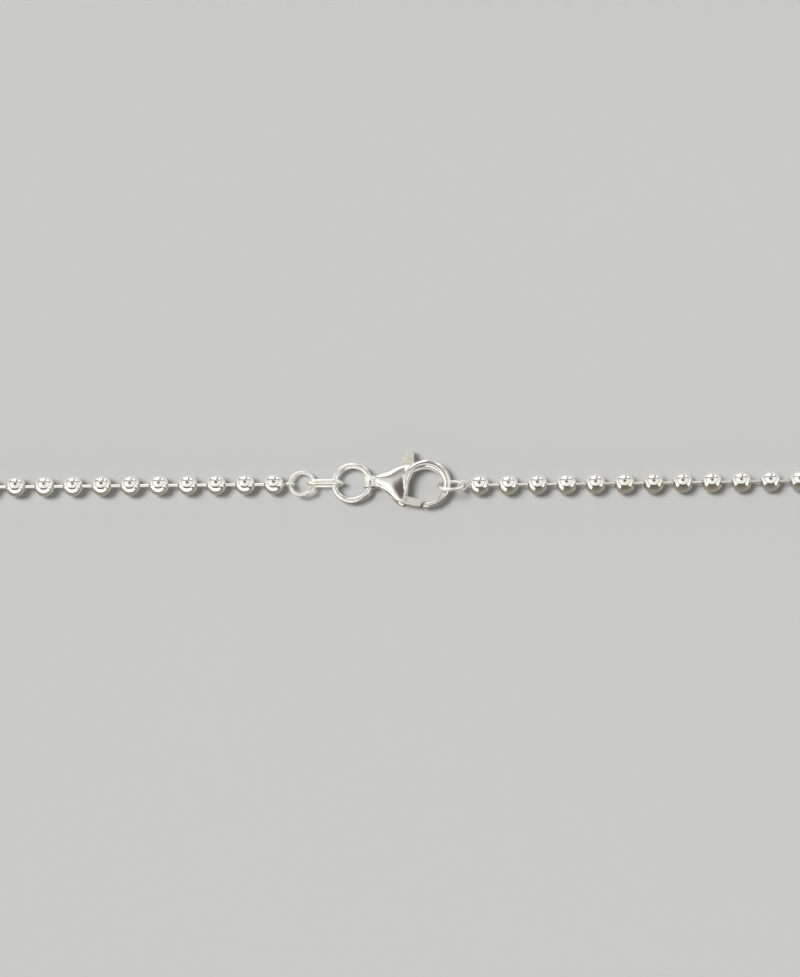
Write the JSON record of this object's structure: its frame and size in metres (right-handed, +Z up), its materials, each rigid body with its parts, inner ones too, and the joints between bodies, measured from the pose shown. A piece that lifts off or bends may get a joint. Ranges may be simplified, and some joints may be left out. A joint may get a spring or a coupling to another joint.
{
  "type": "ball chain necklace",
  "caption": "Neck chain of hollow round beads held by short bars, joined end to end by a ring, an oval link and a lobster clasp.",
  "frame": {"origin": "on the surface that the chain lies on, under the centre of the whole part", "axes": "+X to the right along the front run that carries the clasp, +Y towards the back of the loop, +Z up"},
  "size_m": [0.2072, 0.0854, 0.0036],
  "materials": {
    "beads": "polished silver, lightly drawn round the bead",
    "bars": "bright silver wire",
    "rings": "polished silver wire, soldered",
    "clasp": "polished cast silver",
    "lever": "matt, blasted silver with bright edges"
  },
  "bodies": {
    "necklace": {"beads": "beads", "bars": "bars", "left_end_eye": "rings", "right_end_eye": "rings", "left_ring": "rings", "oval_link": "rings", "big_ring": "rings", "hook_ring": "rings", "clasp_body": "clasp", "pivot_pin": "rings"},
    "lever": {"clasp_lever": "lever"}
  },
  "joints": [
    {"name": "lever_pivot", "type": "hinge", "parent": "necklace", "child": "lever", "pos_m": [0.00035, -0.0393, 0.0015], "axis": [0, 0, 1], "range_deg": [0, 28], "stiffness_Nm_per_rad": 0.01, "springref_deg": -20.05}
  ]
}
